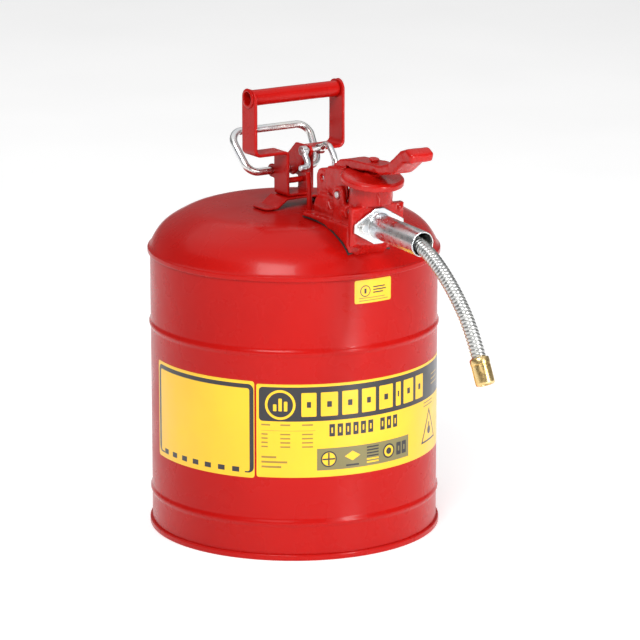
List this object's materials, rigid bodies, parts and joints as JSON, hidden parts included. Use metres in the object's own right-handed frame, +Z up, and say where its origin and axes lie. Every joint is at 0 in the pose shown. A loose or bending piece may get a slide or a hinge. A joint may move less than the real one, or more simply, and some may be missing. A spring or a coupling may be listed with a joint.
{
  "type": "safety gas can",
  "caption": "Red steel safety can with carry handle, trigger-operated pouring valve, self-closing filling lid and a short flexible metal hose with a brass end.",
  "frame": {"origin": "centre of the base, on the floor", "axes": "+Z up along the can's axis, the spout points to -Y, the carry grip lies along X"},
  "size_m": [0.2984, 0.4921, 0.4572],
  "materials": {
    "red_enamel": "glossy red enamel on sheet steel",
    "red_casting": "thick glossy red enamel on a casting",
    "zinc_steel": "bright zinc plating",
    "hose_metal": "corrugated metal hose",
    "brass": "turned brass",
    "seal_rubber": "matt black rubber",
    "label_print": "printed yellow and black film"
  },
  "bodies": {
    "can": {"body_shell": "red_enamel", "bottom_pan": "red_enamel", "top_dome": "red_enamel", "name_label": "label_print", "write_on_label": "label_print", "approval_label": "label_print", "handle_strap": "red_enamel", "grip_tube": "red_enamel", "handle_saddle": "red_enamel", "handle_cross_pin": "red_enamel", "stop_hook": "red_enamel", "manifold": "red_casting", "manifold_gasket": "seal_rubber", "manifold_screws": "zinc_steel", "flame_arrester": "zinc_steel", "vent_tube": "zinc_steel", "lever_pin": "zinc_steel", "lid_spring": "zinc_steel", "valve_seat": "brass", "valve_spring": "zinc_steel", "hose_shield": "zinc_steel", "spout_gasket": "seal_rubber", "spout_screws": "zinc_steel", "hose_fitting": "brass", "hose": "hose_metal", "hose_nozzle": "brass"},
    "lid_lever": {"lid_lever": "red_enamel", "lid_stud": "red_enamel", "lid_cap": "red_enamel", "lid_gasket": "seal_rubber"},
    "trigger": {"trigger_loop": "zinc_steel", "crank_plate": "red_enamel", "crank_pin": "zinc_steel", "stop_link": "zinc_steel"},
    "pull_rod": {"pull_rod": "zinc_steel"},
    "valve_arm": {"valve_arm": "zinc_steel", "valve_shaft": "zinc_steel", "valve_finger": "zinc_steel"},
    "valve": {"valve_stem": "zinc_steel", "valve_disc": "seal_rubber"}
  },
  "joints": [
    {"name": "lid_lever_hinge", "type": "hinge", "parent": "can", "child": "lid_lever", "pos_m": [0, -0.112, 0.3645], "axis": [-1, 0, 0], "range_deg": [0, 40], "stiffness_Nm_per_rad": 0.9, "springref_deg": -20.05},
    {"name": "trigger_squeeze", "type": "hinge", "parent": "can", "child": "trigger", "pos_m": [0, 0.0176, 0.3665], "axis": [1, 0, 0], "range_deg": [0, 14], "stiffness_Nm_per_rad": 2, "springref_deg": -17.19},
    {"name": "pull_rod_pivot", "type": "hinge", "parent": "trigger", "child": "pull_rod", "pos_m": [0.02, -0.0184, 0.391], "axis": [1, 0, 0], "range_deg": [-15, 0]},
    {"name": "valve_arm_pivot", "type": "hinge", "parent": "can", "child": "valve_arm", "pos_m": [0, -0.067, 0.3727], "axis": [1, 0, 0], "range_deg": [-24.6, 0]},
    {"name": "valve_slide", "type": "slide", "parent": "can", "child": "valve", "axis": [0, -0.9981, -0.061], "range_m": [0, 0.0119], "deforming": ["valve_spring"]}
  ],
  "couplings": [
    {"joint": "pull_rod_pivot", "follows": "trigger_squeeze", "ratio": -1.0503},
    {"joint": "valve_arm_pivot", "follows": "trigger_squeeze", "ratio": -1.7433},
    {"joint": "valve_slide", "follows": "trigger_squeeze", "m_per_rad": 0.048}
  ]
}
